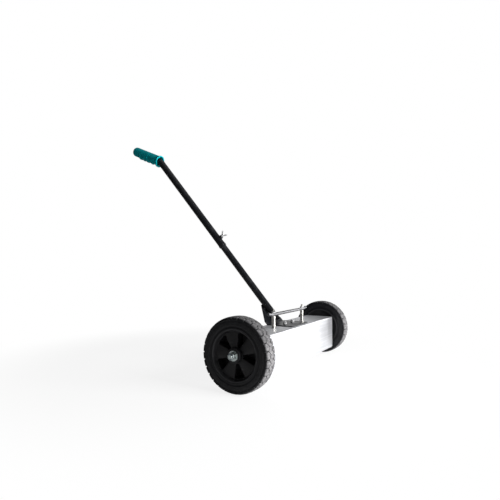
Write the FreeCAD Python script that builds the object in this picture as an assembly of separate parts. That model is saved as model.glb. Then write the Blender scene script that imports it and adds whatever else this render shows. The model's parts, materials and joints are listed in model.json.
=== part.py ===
"""Magnetic nail sweeper: a wheeled magnet box with a lift-to-release bar and a telescopic handle.

Everything is in millimetres. The parts are laid out about the axle: X runs along the axle, -Y is
the front, +Y is where the operator walks, and Z is the height above the floor. The saved parts are
moved along Y only, so that the origin is on the floor under the middle of the whole tool.
"""
import FreeCAD, Part
import math
import os

V = FreeCAD.Vector
X_AXIS = V(1, 0, 0)
Z_AXIS = V(0, 0, 1)

# Wheels
AXLE_HEIGHT = 100.0
TYRE_RADIUS = 100.0
TYRE_SHOULDER_RADIUS = 93.8
TYRE_SEAT_RADIUS = 69.0
TYRE_BEAD_INSET = 1.0
TYRE_BEAD_HEIGHT = 2.0
TYRE_SHOULDER_SHARE = 0.3
TYRE_SHOULDER_DROP = 2.0
WHEEL_WIDTH = 49.0
WHEEL_GAP = 10.0
HUB_COLLAR_RADIUS = 20.5
HUB_COLLAR_TAPER = 1.5
RIM_INSET = 1.0
RIM_LIP_RADIUS = 66.0
SPOKE_FACE_RADIUS = 61.0
POCKET_OUTER_RADIUS = 59.5
POCKET_INNER_RADIUS = 22.0
POCKET_ANGLE = 32.0
POCKET_INNER_SHARE = 0.72
SPOKES = 5
FIRST_SPOKE_ANGLE = 31.0
SPOKE_FACE_DEPTH = 10.0
BACK_FACE_DEPTH = 4.0
WEB_THICKNESS = 8.0
HUB_OVERHANG = 0.6
BUSH_RADIUS = 8.0
RUNNING_CLEARANCE = 0.08

# Stub axles, cut from M12 bolts
AXLE_RADIUS = 6.0
AXLE_HEAD_FLATS = 19.0
AXLE_HEAD_HEIGHT = 7.5
LOCK_NUT_HEIGHT = 7.0
WASHER_RADIUS = 13.5
WASHER_THICKNESS = 2.0
END_PLAY = 0.4
END_NUT_HEX_HEIGHT = 8.0
END_NUT_HEIGHT = 12.0
NUT_COLLAR_INSET = 0.3
NUT_COLLAR_ROUND = 1.2
INSERT_RADIUS = 8.2
INSERT_HEIGHT = 2.5
INSERT_DEPTH = 0.5
AXLE_PROUD = 2.0
AXLE_TIP_CHAMFER = 1.0

# Sheet-metal magnet box
HOUSING_HALF_LENGTH = 282.0
HOUSING_HALF_DEPTH = 54.0
HOUSING_BOTTOM = 30.5
HOUSING_TOP = 143.6
SHEET = 2.0
FOLD_RADIUS = 3.0
END_PLATE = 3.0
TAB_WIDTH = 16.0
TAB_MARGIN = 8.0
LIP_HEIGHT = 14.0
SCREW_RADIUS = 2.5
SCREW_HEAD_RADIUS = 4.75
SCREW_HEAD_HEIGHT = 2.6
SCREW_HEAD_ROUND = 1.8
SCREW_SOCKET_FLATS = 3.0
SCREW_SOCKET_FLOOR = 0.8
SCREW_LENGTH = 12.0
SCREW_Y = 45.0
SCREW_HEIGHTS = (54.0, 120.0)
WELD_NUT_RADIUS = 5.0
WELD_NUT_HEIGHT = 4.5

# Magnet carrier, lifted clear of the box's floor to drop the nails
CARRIER_HALF_LENGTH = 262.0
CARRIER_HALF_WIDTH = 44.0
CARRIER_PLATE = 5.0
MAGNETS = 5
MAGNET_LENGTH = 100.0
MAGNET_PITCH = 104.0
MAGNET_WIDTH = 80.0
MAGNET_HEIGHT = 20.0
FLOOR_CLEARANCE = 0.5
SOCKET_RADIUS = 11.0
SOCKET_HEIGHT = 18.0

# Lift rods and pull bar
ROD_X = 111.0
ROD_RADIUS = 6.0
ROD_SHOULDER = 181.0
ROD_TIP = 201.0
STUD_RADIUS = 3.0
SOCKET_STUD_RADIUS = 4.0
SOCKET_STUD_LENGTH = 16.0
BAR_RADIUS = 5.0
BAR_FLAT = 1.0
BAR_STRAIGHT_HALF = 124.0
BAR_END_LENGTH = 20.0
BAR_END_RISE = 8.0
BAR_BEND_RADIUS = 25.0
BAR_TIP_ROUND = 2.25
BAR_FLAT_MARGIN = 0.5
STUD_CHAMFER = 0.8
M6_FLATS = 10.0
M6_NUT_HEIGHT = 5.0
GUIDE_RADIUS = 8.0
GUIDE_FLANGE_RADIUS = 11.0
GUIDE_FLANGE = 2.0
GUIDE_DEPTH = 16.0
GUIDE_PROUD = 0.6

# Handle bracket: one plate, bent up behind the bolts to carry the tube
HANDLE_ANGLE = 49.0
TUBE_FOOT_Y = 40.6
TUBE_FOOT_Z = 153.8
BRACKET_PLATE = 3.0
BRACKET_HALF_WIDTH = 65.0
BRACKET_FRONT = -42.0
BRACKET_CORNER = 6.0
BRACKET_BEND_RADIUS = 4.0
UPRIGHT_FOOT_HALF = 59.0
UPRIGHT_SIDE = 12.0
UPRIGHT_TOP_HALF = 6.0
UPRIGHT_LENGTH = 76.0
BRACKET_BOLT_X = 29.0
BRACKET_BOLT_HOLE = 3.3
BRACKET_BOLT_PROUD = 2.2
M6_HEAD_HEIGHT = 4.0
M6_WASHER_RADIUS = 6.0
M6_WASHER = 1.6
WELD_RADIUS = 3.5
WELD_OFFSET = 7.6
WELD_SINK = 1.0
WELD_START = 8.0
WELD_END = 66.0

# Telescopic handle; distances are measured up the tube from its foot
LOWER_TUBE_RADIUS = 11.5
LOWER_TUBE_WALL = 2.0
LOWER_TUBE_START = 3.0
LOWER_TUBE_END = 590.0
UPPER_TUBE_RADIUS = 13.0
UPPER_TUBE_BORE = 11.6
UPPER_TUBE_START = 340.0
TUBE_LIP = 1.0
TUBE_LIP_ROUND = 0.9
TUBE_LIP_LENGTH = 7.0
HANDLE_BEND_AT = 819.0
HANDLE_BEND_RADIUS = 70.0
GRIP_ANGLE = 24.0
CLAMP_AT = 372.0
CLAMP_BOSS_RADIUS = 7.5
CLAMP_BOSS_TOP = 19.0
CLAMP_BOSS_FOOT = 2.0
CLAMP_BOSS_ROUND = 0.8
CLAMP_TIP_GAP = 0.3
WING_HUB_BASE = 19.5
WING_HUB_TOP = 30.0
WING_HUB_BASE_RADIUS = 5.0
WING_HUB_TOP_RADIUS = 4.2
WING_THICKNESS = 2.6
WING_TIP_RADIUS = 2.5
WING_TIP_OFFSET = 9.8
WING_TIP_HEIGHT = 36.3
WING_TURN = 20.0
WING_ROOT_OFFSET = 2.0
WING_ROOT_LOW = 3.0
WING_ROOT_DROP = 1.0

# Grip; distances are measured along it from the handle's bend
GRIP_START = -2.0
GRIP_END = 153.0
GRIP_RADIUS = 18.5
GRIP_FLANGE_RADIUS = 22.5
GRIP_FLANGE_LENGTH = 8.0
GRIP_FLANGE_ROUND = 2.0
GRIP_FLANGE_BACK_DROP = 1.0
GRIP_FLANGE_BACK_LENGTH = 3.0
GRIP_END_ROUND = 9.0
GRIP_END_WALL = 4.0
GRIP_MOUTH_RADIUS = 18.0
GRIP_MOUTH_DEPTH = 22.0

# Nuts and bolt heads: how their corners are turned off
HEX_CHAMFER_SHARE = 0.35
HEX_CHAMFER_INSET = 0.2

# How far a cut runs past what it cuts
OVERCUT = 5.0


def radians_sin_cos(degrees):
    """Sine and cosine of an angle in degrees."""
    return math.sin(math.radians(degrees)), math.cos(math.radians(degrees))


HANDLE_SIN, HANDLE_COS = radians_sin_cos(HANDLE_ANGLE)
GRIP_SIN, GRIP_COS = radians_sin_cos(GRIP_ANGLE)
TUBE_DIRECTION = V(0, HANDLE_COS, HANDLE_SIN)
TUBE_NORMAL = V(0, -HANDLE_SIN, HANDLE_COS)
GRIP_DIRECTION = V(0, GRIP_COS, GRIP_SIN)
GRIP_NORMAL = V(0, -GRIP_SIN, GRIP_COS)
TUBE_FOOT = V(0, TUBE_FOOT_Y, TUBE_FOOT_Z)
BRACKET_TOP = HOUSING_TOP + BRACKET_PLATE
HANDLE_CORNER = TUBE_FOOT + TUBE_DIRECTION * HANDLE_BEND_AT
BEND_TANGENT = HANDLE_BEND_RADIUS * math.tan(math.radians((HANDLE_ANGLE - GRIP_ANGLE) / 2))
BEND_START = HANDLE_BEND_AT - BEND_TANGENT
CARRIER_BOTTOM = HOUSING_BOTTOM + SHEET + FLOOR_CLEARANCE + MAGNET_HEIGHT
CARRIER_TOP = CARRIER_BOTTOM + CARRIER_PLATE
SOCKET_TOP = CARRIER_TOP + SOCKET_HEIGHT
BAR_HEIGHT = ROD_SHOULDER + BAR_RADIUS - BAR_FLAT

# The whole tool reaches from the front of the tyres to the rounded end of the grip.
GRIP_REACH = HANDLE_CORNER.y + (GRIP_END - GRIP_END_ROUND) * GRIP_COS
GRIP_REACH += (GRIP_RADIUS - GRIP_END_ROUND) * GRIP_SIN + GRIP_END_ROUND
ORIGIN_SHIFT = V(0, (TYRE_RADIUS - GRIP_REACH) / 2, 0)


def tube_point(along, above=0.0, across=0.0):
    """A point by its distance up the handle tube, above its axis and across it."""
    return TUBE_FOOT + TUBE_DIRECTION * along + TUBE_NORMAL * above + X_AXIS * across


def grip_point(along, above=0.0):
    """A point by its distance along the grip from the handle's bend, and above the grip's axis."""
    return HANDLE_CORNER + GRIP_DIRECTION * along + GRIP_NORMAL * above


def box(x_range, y_range, z_range):
    """A box between two values on each axis."""
    sizes = [high - low for low, high in (x_range, y_range, z_range)]
    return Part.makeBox(*sizes, V(x_range[0], y_range[0], z_range[0]))


def cylinder(radius, start, end):
    """A solid round bar between two points."""
    return Part.makeCylinder(radius, (end - start).Length, start, end - start)


def cone(radius_start, radius_end, start, end):
    """A round tapered bar between two points."""
    return Part.makeCone(radius_start, radius_end, (end - start).Length, start, end - start)


def pipe(outer_radius, inner_radius, start, end):
    """A straight tube or ring between two points."""
    return cylinder(outer_radius, start, end).cut(cylinder(inner_radius, start, end))


def hexagon(flats, start, end):
    """A hexagonal bar between two points, a given distance across its flats."""
    axis = end - start
    corner_radius = flats / math.sqrt(3)
    side = V(0, 0, 1) if abs(axis.z) < 0.9 * axis.Length else V(1, 0, 0)
    up = axis.cross(side).normalize()
    corners = []
    for step in range(7):
        turn = FreeCAD.Rotation(axis, 60 * step)
        corners.append(start + turn.multVec(up * corner_radius))
    return Part.Face(Part.makePolygon(corners)).extrude(axis)


def chamfered_hexagon(flats, start, end, both=False):
    """A hexagonal bar whose corners are turned off at its far end, or at both ends."""
    axis = (end - start).normalize()
    length = (end - start).Length
    slope = flats * HEX_CHAMFER_SHARE
    wide = flats / 2 + slope
    narrow = flats / 2 - HEX_CHAMFER_INSET
    keep = cone(wide, narrow, end - axis * slope, end)
    keep = keep.fuse(cylinder(flats, start, end - axis * slope)) if length > slope else keep
    bar = hexagon(flats, start, end).common(keep)
    if both:
        keep = cone(narrow, wide, start, start + axis * slope)
        keep = keep.fuse(cylinder(flats, start + axis * slope, end)) if length > slope else keep
        bar = bar.common(keep)
    return bar


def prism(points, direction):
    """A solid with a flat polygon section, extruded along a direction."""
    return Part.Face(Part.makePolygon(points + [points[0]])).extrude(direction)


def hole_along_z(radius, x, z):
    """A cutter for an upright hole through a thin part at a given height."""
    return cylinder(radius, V(x, 0, z - OVERCUT), V(x, 0, z + OVERCUT))


def mirrored(shape):
    """The same shape on the other side of the tool."""
    return shape.mirror(V(0, 0, 0), X_AXIS)


def both_sides(shape):
    """A shape and its mirror image, as separate solids."""
    return [shape, mirrored(shape)]


def save(node, shapes):
    """Write one node's solids to its STEP file."""
    pieces = shapes if isinstance(shapes, list) else [shapes]
    solids = []
    for piece in pieces:
        moved = piece.copy()
        moved.translate(ORIGIN_SHIFT)
        solids.extend(moved.Solids)
    shape = solids[0] if len(solids) == 1 else Part.makeCompound(solids)
    shape.exportStep(os.path.join("parts", node + ".step"))


# ---------------------------------------------------------------- magnet box

def housing_shell():
    """Folded cover: the top, the front and back walls, and a fastening tab at each corner."""
    wall_end = HOUSING_HALF_LENGTH - END_PLATE
    length = (-wall_end, wall_end)
    outside = box(length, (-HOUSING_HALF_DEPTH, HOUSING_HALF_DEPTH), (HOUSING_BOTTOM, HOUSING_TOP))
    depth = HOUSING_HALF_DEPTH - SHEET
    inside = box(length, (-depth, depth), (HOUSING_BOTTOM, HOUSING_TOP - SHEET))
    outside = outside.makeFillet(FOLD_RADIUS, top_long_edges(outside, HOUSING_TOP))
    inside = inside.makeFillet(FOLD_RADIUS - SHEET, top_long_edges(inside, HOUSING_TOP - SHEET))
    shell = outside.cut(inside)
    tab_z = (HOUSING_BOTTOM + TAB_MARGIN + LIP_HEIGHT, HOUSING_TOP - TAB_MARGIN)
    for side in (-1, 1):
        tab_x = sorted((side * wall_end, side * (wall_end - SHEET)))
        for face in (-1, 1):
            tab_y = sorted((face * depth, face * (depth - TAB_WIDTH)))
            shell = shell.fuse(box(tab_x, tab_y, tab_z))
            for height in SCREW_HEIGHTS:
                start = V(side * (wall_end - 2 * SHEET), face * SCREW_Y, height)
                end = V(side * HOUSING_HALF_LENGTH, face * SCREW_Y, height)
                shell = shell.cut(cylinder(SCREW_RADIUS, start, end))
    for x in (ROD_X, BRACKET_BOLT_X):
        radius = GUIDE_RADIUS if x == ROD_X else BRACKET_BOLT_HOLE
        for hole in both_sides(hole_along_z(radius, x, HOUSING_TOP)):
            shell = shell.cut(hole)
    return shell.removeSplitter()


def top_long_edges(shape, top):
    """The two edges along X at the top of a box."""
    edges = []
    for edge in shape.Edges:
        box_of_edge = edge.BoundBox
        if box_of_edge.XLength > 10 and box_of_edge.ZMin > top - 0.01:
            edges.append(edge)
    return edges


def bottom_plate():
    """Thin floor of the box, with lips spot-welded inside the front and back walls."""
    half = HOUSING_HALF_LENGTH - END_PLATE
    depth = HOUSING_HALF_DEPTH - SHEET
    plate = box((-half, half), (-depth, depth), (HOUSING_BOTTOM, HOUSING_BOTTOM + SHEET))
    lip_half = half - TAB_WIDTH
    lip_z = (HOUSING_BOTTOM + SHEET, HOUSING_BOTTOM + LIP_HEIGHT)
    for y_range in ((-depth, SHEET - depth), (depth - SHEET, depth)):
        plate = plate.fuse(box((-lip_half, lip_half), y_range, lip_z))
    return plate.removeSplitter()


def end_plate():
    """Right-hand end of the box, which also carries the stub axle."""
    inner = HOUSING_HALF_LENGTH - END_PLATE
    depth = (-HOUSING_HALF_DEPTH, HOUSING_HALF_DEPTH)
    plate = box((inner, HOUSING_HALF_LENGTH), depth, (HOUSING_BOTTOM, HOUSING_TOP))
    plate = plate.makeFillet(FOLD_RADIUS, short_top_edges(plate))
    ends = (V(inner - OVERCUT, 0, AXLE_HEIGHT), V(HOUSING_HALF_LENGTH + OVERCUT, 0, AXLE_HEIGHT))
    plate = plate.cut(cylinder(AXLE_RADIUS, *ends))
    for y in (-SCREW_Y, SCREW_Y):
        for height in SCREW_HEIGHTS:
            ends = (V(inner - OVERCUT, y, height), V(HOUSING_HALF_LENGTH + OVERCUT, y, height))
            plate = plate.cut(cylinder(SCREW_RADIUS, *ends))
    return plate


def short_top_edges(plate):
    """The two top corners of an end plate, which are edges along X."""
    edges = []
    for edge in plate.Edges:
        box_of_edge = edge.BoundBox
        if box_of_edge.ZMin > HOUSING_TOP - 0.01 and box_of_edge.YLength < 0.01:
            edges.append(edge)
    return edges


def end_plate_screw(y, height):
    """Button-head screw, driven through the end plate into a weld nut."""
    face = HOUSING_HALF_LENGTH
    shank = cylinder(SCREW_RADIUS, V(face - SCREW_LENGTH, y, height), V(face, y, height))
    head = cylinder(SCREW_HEAD_RADIUS, V(face, y, height), V(face + SCREW_HEAD_HEIGHT, y, height))
    rim = [e for e in head.Edges if e.BoundBox.XMin > face + SCREW_HEAD_HEIGHT - 0.01]
    head = head.makeFillet(SCREW_HEAD_ROUND, rim)
    socket_ends = (V(face + SCREW_SOCKET_FLOOR, y, height), V(face + OVERCUT, y, height))
    socket = hexagon(SCREW_SOCKET_FLATS, *socket_ends)
    return shank.fuse(head).cut(socket).removeSplitter()


def weld_nut(y, height):
    """Round nut welded behind a corner tab."""
    back = HOUSING_HALF_LENGTH - END_PLATE - SHEET
    ends = (V(back - WELD_NUT_HEIGHT, y, height), V(back, y, height))
    return pipe(WELD_NUT_RADIUS, SCREW_RADIUS, *ends)


def at_each_end_screw(make):
    """One fastener at every end-plate screw position, on both ends of the box."""
    solids = []
    for y in (-SCREW_Y, SCREW_Y):
        for height in SCREW_HEIGHTS:
            solids.extend(both_sides(make(y, height)))
    return solids


# ---------------------------------------------------------------- stub axle stack, right-hand side

PLATE_FACE = HOUSING_HALF_LENGTH
INNER_WASHER_START = PLATE_FACE + LOCK_NUT_HEIGHT
HUB_START = PLATE_FACE + WHEEL_GAP - HUB_OVERHANG
HUB_END = PLATE_FACE + WHEEL_GAP + WHEEL_WIDTH + HUB_OVERHANG
OUTER_WASHER_START = HUB_END + END_PLAY
END_NUT_START = OUTER_WASHER_START + WASHER_THICKNESS
AXLE_END = END_NUT_START + END_NUT_HEIGHT + AXLE_PROUD
WHEEL_MIDDLE = PLATE_FACE + WHEEL_GAP + WHEEL_WIDTH / 2


def on_axle(x):
    """A point on the axle line."""
    return V(x, 0, AXLE_HEIGHT)


def axle_bolt():
    """Stub axle: a bolt through the end plate with its head inside the box."""
    inside = PLATE_FACE - END_PLATE
    head = chamfered_hexagon(AXLE_HEAD_FLATS, on_axle(inside), on_axle(inside - AXLE_HEAD_HEIGHT))
    chamfer_start = on_axle(AXLE_END - AXLE_TIP_CHAMFER)
    shank = cylinder(AXLE_RADIUS, on_axle(inside), chamfer_start)
    tip = cone(AXLE_RADIUS, AXLE_RADIUS - AXLE_TIP_CHAMFER, chamfer_start, on_axle(AXLE_END))
    return head.fuse([shank, tip]).removeSplitter()


def lock_nut():
    """Thin nut that clamps the stub axle to the end plate."""
    ends = (on_axle(PLATE_FACE), on_axle(PLATE_FACE + LOCK_NUT_HEIGHT))
    return chamfered_hexagon(AXLE_HEAD_FLATS, *ends, both=True).cut(cylinder(AXLE_RADIUS, *ends))


def washer(start):
    """Flat washer on the axle, from a given X outwards."""
    ends = (on_axle(start), on_axle(start + WASHER_THICKNESS))
    return pipe(WASHER_RADIUS, AXLE_RADIUS, *ends)


def end_nut():
    """Locking nut that keeps the wheel on: a hexagon with a round collar for its nylon ring."""
    hex_end = END_NUT_START + END_NUT_HEX_HEIGHT
    nut_end = END_NUT_START + END_NUT_HEIGHT
    body = chamfered_hexagon(AXLE_HEAD_FLATS, on_axle(END_NUT_START), on_axle(hex_end))
    collar_start = on_axle(hex_end - NUT_COLLAR_INSET)
    collar = cylinder(AXLE_HEAD_FLATS / 2 - NUT_COLLAR_INSET, collar_start, on_axle(nut_end))
    rim = [e for e in collar.Edges if e.BoundBox.XMin > nut_end - 0.01]
    collar = collar.makeFillet(NUT_COLLAR_ROUND, rim)
    nut = body.fuse(collar).cut(cylinder(AXLE_RADIUS, on_axle(END_NUT_START), on_axle(nut_end)))
    return nut.cut(cylinder(INSERT_RADIUS, *insert_ends())).removeSplitter()


def insert_ends():
    """Where the nylon ring lies along the axle, just inside the mouth of its nut."""
    outer = END_NUT_START + END_NUT_HEIGHT - INSERT_DEPTH
    return on_axle(outer - INSERT_HEIGHT), on_axle(outer)


def nut_insert():
    """Nylon ring in the locking nut."""
    return pipe(INSERT_RADIUS, AXLE_RADIUS, *insert_ends())


# ---------------------------------------------------------------- wheel, right-hand side

def revolve_about_axle(points):
    """A solid of revolution about the axle, from (x from the wheel's middle, radius) points."""
    corners = [V(WHEEL_MIDDLE + x, 0, AXLE_HEIGHT + radius) for x, radius in points]
    face = Part.Face(Part.makePolygon(corners + [corners[0]]))
    return face.revolve(on_axle(0), X_AXIS, 360)


def wheel_point(x, angle, radius):
    """A point in the wheel: x from its middle, degrees from the front over the top, and radius."""
    turn_sin, turn_cos = radians_sin_cos(angle)
    return V(WHEEL_MIDDLE + x, -radius * turn_cos, AXLE_HEIGHT + radius * turn_sin)


def hub_half(face_depth):
    """Outline of half a wheel hub: collar, face recessed by a depth, sloping rim and tyre seat."""
    half = WHEEL_WIDTH / 2
    collar_half = half + HUB_OVERHANG
    rim_half = half - RIM_INSET
    face = half - face_depth
    collar_rim = HUB_COLLAR_RADIUS - HUB_COLLAR_TAPER
    outline = [(0, BUSH_RADIUS), (collar_half, BUSH_RADIUS), (collar_half, collar_rim)]
    outline += [(face, HUB_COLLAR_RADIUS), (face, SPOKE_FACE_RADIUS), (rim_half, RIM_LIP_RADIUS)]
    return outline + [(rim_half, TYRE_SEAT_RADIUS), (0, TYRE_SEAT_RADIUS)]


def wheel_hub():
    """Moulded wheel centre: five spokes in front of a closed web, inside the rim under the tyre."""
    outer = revolve_about_axle(hub_half(SPOKE_FACE_DEPTH))
    inner = revolve_about_axle([(-x, radius) for x, radius in hub_half(BACK_FACE_DEPTH)])
    hub = outer.fuse(inner).removeSplitter()
    for spoke in range(SPOKES):
        hub = hub.cut(pocket(FIRST_SPOKE_ANGLE + (spoke + 0.5) * 360 / SPOKES))
    return hub


def pocket(angle):
    """Wedge-shaped recess between two spokes, from the outer face down to the web."""
    floor = BACK_FACE_DEPTH + WEB_THICKNESS - WHEEL_WIDTH / 2
    wide = POCKET_ANGLE / 2
    narrow = wide * POCKET_INNER_SHARE
    outline = [(-narrow, POCKET_INNER_RADIUS), (-wide, POCKET_OUTER_RADIUS)]
    outline += [(wide, POCKET_OUTER_RADIUS), (narrow, POCKET_INNER_RADIUS)]
    corners = [wheel_point(floor, angle + turn, radius) for turn, radius in outline]
    crown = wheel_point(floor, angle, POCKET_OUTER_RADIUS)
    edges = [
        Part.makeLine(corners[0], corners[1]),
        Part.Arc(corners[1], crown, corners[2]).toShape(),
        Part.makeLine(corners[2], corners[3]),
        Part.makeLine(corners[3], corners[0]),
    ]
    return Part.Face(Part.Wire(edges)).extrude(X_AXIS * WHEEL_WIDTH)


def wheel_bush():
    """Plain bearing pressed into the wheel, running on the stub axle."""
    return pipe(BUSH_RADIUS, AXLE_RADIUS + RUNNING_CLEARANCE, on_axle(HUB_START), on_axle(HUB_END))


def tyre():
    """Solid rubber tyre with rounded shoulders, seated on the wheel's rim."""
    half = WHEEL_WIDTH / 2
    shoulder = half * TYRE_SHOULDER_SHARE
    outline = [(-half + TYRE_BEAD_INSET, TYRE_SEAT_RADIUS), (-half, TYRE_SEAT_RADIUS + TYRE_BEAD_HEIGHT)]
    outline += [(-half, TYRE_SHOULDER_RADIUS)]
    outline += [(-half + shoulder / 2, TYRE_RADIUS - TYRE_SHOULDER_DROP)]
    outline += [(-half + shoulder, TYRE_RADIUS)]
    outline += [(-x, radius) for x, radius in reversed(outline)]
    return revolve_about_axle(outline)


# ---------------------------------------------------------------- magnet carrier and lift bar

def magnet_carrier():
    """Steel backing plate that holds the magnets, tapped for the two lift rods."""
    length = (-CARRIER_HALF_LENGTH, CARRIER_HALF_LENGTH)
    width = (-CARRIER_HALF_WIDTH, CARRIER_HALF_WIDTH)
    return box(length, width, (CARRIER_BOTTOM, CARRIER_TOP))


def magnet_blocks():
    """Row of ferrite blocks on the underside of the carrier."""
    blocks = []
    for index in range(MAGNETS):
        middle = (index - (MAGNETS - 1) / 2) * MAGNET_PITCH
        length = (middle - MAGNET_LENGTH / 2, middle + MAGNET_LENGTH / 2)
        width = (-MAGNET_WIDTH / 2, MAGNET_WIDTH / 2)
        blocks.append(box(length, width, (CARRIER_BOTTOM - MAGNET_HEIGHT, CARRIER_BOTTOM)))
    return blocks


def lift_socket():
    """Round boss welded on the carrier, tapped for the lower end of a lift rod."""
    ends = (V(ROD_X, 0, CARRIER_TOP), V(ROD_X, 0, SOCKET_TOP))
    thread = (V(ROD_X, 0, SOCKET_TOP - SOCKET_STUD_LENGTH), V(ROD_X, 0, SOCKET_TOP))
    return cylinder(SOCKET_RADIUS, *ends).cut(cylinder(SOCKET_STUD_RADIUS, *thread))


def lift_rod():
    """Round rod from the carrier to the pull bar, with a turned-down stud at each end."""
    rod = cylinder(ROD_RADIUS, V(ROD_X, 0, SOCKET_TOP), V(ROD_X, 0, ROD_SHOULDER))
    below = (V(ROD_X, 0, SOCKET_TOP - SOCKET_STUD_LENGTH), V(ROD_X, 0, SOCKET_TOP))
    stud = chamfered_stud(V(ROD_X, 0, ROD_SHOULDER), V(ROD_X, 0, ROD_TIP))
    return rod.fuse([cylinder(SOCKET_STUD_RADIUS, *below), stud]).removeSplitter()


def chamfered_stud(start, end):
    """An M6 stud between two points, chamfered at its far end."""
    chamfer = end - (end - start).normalize() * STUD_CHAMFER
    shank = cylinder(STUD_RADIUS, start, chamfer)
    return shank.fuse(cone(STUD_RADIUS, STUD_RADIUS - STUD_CHAMFER, chamfer, end))


def lift_bar():
    """Round pull bar whose ends turn up a little, flattened and drilled where the rods meet it."""
    rise_sin, rise_cos = radians_sin_cos(BAR_END_RISE)
    start = V(BAR_STRAIGHT_HALF, 0, BAR_HEIGHT)
    centre = start + Z_AXIS * BAR_BEND_RADIUS
    section = Part.Face(Part.Wire(Part.makeCircle(BAR_RADIUS, start, X_AXIS)))
    bend = section.revolve(centre, V(0, -1, 0), BAR_END_RISE)
    bend_end = centre + V(rise_sin, 0, -rise_cos) * BAR_BEND_RADIUS
    bar_end = bend_end + V(rise_cos, 0, rise_sin) * BAR_END_LENGTH
    end = cylinder(BAR_RADIUS, bend_end, bar_end)
    rim = [e for e in end.Edges if e.CenterOfMass.distanceToPoint(bar_end) < BAR_FLAT]
    end = end.makeFillet(BAR_TIP_ROUND, rim)
    middle = cylinder(BAR_RADIUS, V(-BAR_STRAIGHT_HALF, 0, BAR_HEIGHT), start)
    bar = middle.fuse([bend, end, mirrored(bend), mirrored(end)])
    flat_x = (ROD_X - ROD_RADIUS - BAR_FLAT_MARGIN, ROD_X + ROD_RADIUS + BAR_FLAT_MARGIN)
    flat_height = BAR_RADIUS - BAR_FLAT
    above = box(flat_x, (-BAR_RADIUS, BAR_RADIUS), (BAR_HEIGHT + flat_height, BAR_HEIGHT + BAR_RADIUS))
    below = box(flat_x, (-BAR_RADIUS, BAR_RADIUS), (BAR_HEIGHT - BAR_RADIUS, BAR_HEIGHT - flat_height))
    for cutter in (above, below, hole_along_z(STUD_RADIUS, ROD_X, BAR_HEIGHT)):
        bar = bar.cut(cutter).cut(mirrored(cutter))
    return bar.removeSplitter()


def bar_nut():
    """Nut that holds the pull bar on the stud of a lift rod."""
    low = BAR_HEIGHT + BAR_RADIUS - BAR_FLAT
    ends = (V(ROD_X, 0, low), V(ROD_X, 0, low + M6_NUT_HEIGHT))
    return chamfered_hexagon(M6_FLATS, *ends, both=True).cut(cylinder(STUD_RADIUS, *ends))


def rod_guide():
    """Flanged bush pushed up through the housing's top, which guides a lift rod."""
    under = HOUSING_TOP - SHEET
    bore = ROD_RADIUS + RUNNING_CLEARANCE
    sleeve = (V(ROD_X, 0, under - GUIDE_DEPTH), V(ROD_X, 0, HOUSING_TOP + GUIDE_PROUD))
    flange = (V(ROD_X, 0, under - GUIDE_FLANGE), V(ROD_X, 0, under))
    guide = cylinder(GUIDE_RADIUS, *sleeve).fuse(cylinder(GUIDE_FLANGE_RADIUS, *flange))
    return guide.cut(cylinder(bore, *sleeve)).removeSplitter()


# ---------------------------------------------------------------- handle bracket

def handle_bracket():
    """Plate bolted to the box and bent up into a tapered back that the handle tube lies against."""
    tangent = BRACKET_BEND_RADIUS * math.tan(math.radians(HANDLE_ANGLE / 2))
    corner = tube_point(0, -LOWER_TUBE_RADIUS)
    bend_start = V(0, corner.y - tangent, BRACKET_TOP)
    base_y = (BRACKET_FRONT, bend_start.y)
    base = box((-BRACKET_HALF_WIDTH, BRACKET_HALF_WIDTH), base_y, (HOUSING_TOP, BRACKET_TOP))
    front = [e for e in base.Edges if e.BoundBox.ZLength > 1 and e.BoundBox.YMax < BRACKET_FRONT + 1]
    base = base.makeFillet(BRACKET_CORNER, front)
    foot = UPRIGHT_FOOT_HALF
    bend = bend_section(bend_start).extrude(X_AXIS * 2 * foot)
    bend.translate(V(-foot, 0, 0))
    front_face = -LOWER_TUBE_RADIUS
    outline = [(foot, tangent), (foot, UPRIGHT_SIDE), (UPRIGHT_TOP_HALF, UPRIGHT_LENGTH)]
    outline += [(-x, along) for x, along in reversed(outline)]
    points = [tube_point(along, front_face, x) for x, along in outline]
    upright = prism(points, TUBE_NORMAL * -BRACKET_PLATE)
    bracket = base.fuse([bend, upright]).removeSplitter()
    for hole in both_sides(hole_along_z(BRACKET_BOLT_HOLE, BRACKET_BOLT_X, BRACKET_TOP)):
        bracket = bracket.cut(hole)
    return bracket


def bend_section(start):
    """Section of the plate through its bend, from the flat base to the tilted back."""
    centre = start + Z_AXIS * BRACKET_BEND_RADIUS
    rings = []
    for radius in (BRACKET_BEND_RADIUS, BRACKET_BEND_RADIUS + BRACKET_PLATE):
        points = []
        for part in (0, 0.5, 1):
            turn_sin, turn_cos = radians_sin_cos(part * HANDLE_ANGLE)
            points.append(centre + V(0, turn_sin, -turn_cos) * radius)
        rings.append(points)
    inner, outer = rings
    edges = [
        Part.Arc(*inner).toShape(),
        Part.makeLine(inner[2], outer[2]),
        Part.Arc(*outer).toShape(),
        Part.makeLine(outer[0], inner[0]),
    ]
    return Part.Face(Part.Wire(Part.__sortEdges__(edges)))


def tube_weld():
    """Fillet weld along one side of the tube, where it lies on the bracket's back."""
    centre = WELD_SINK - LOWER_TUBE_RADIUS
    ends = [tube_point(along, centre, WELD_OFFSET) for along in (WELD_START, WELD_END)]
    bead = cylinder(WELD_RADIUS, *ends)
    tube = cylinder(LOWER_TUBE_RADIUS, tube_point(0), tube_point(UPRIGHT_LENGTH))
    right = WELD_OFFSET + 2 * WELD_RADIUS
    plate_face = [(0, 0), (right, 0), (right, UPRIGHT_LENGTH), (0, UPRIGHT_LENGTH)]
    corners = [tube_point(along, -LOWER_TUBE_RADIUS, x) for x, along in plate_face]
    return bead.cut(tube).cut(prism(corners, TUBE_NORMAL * -OVERCUT))


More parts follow.
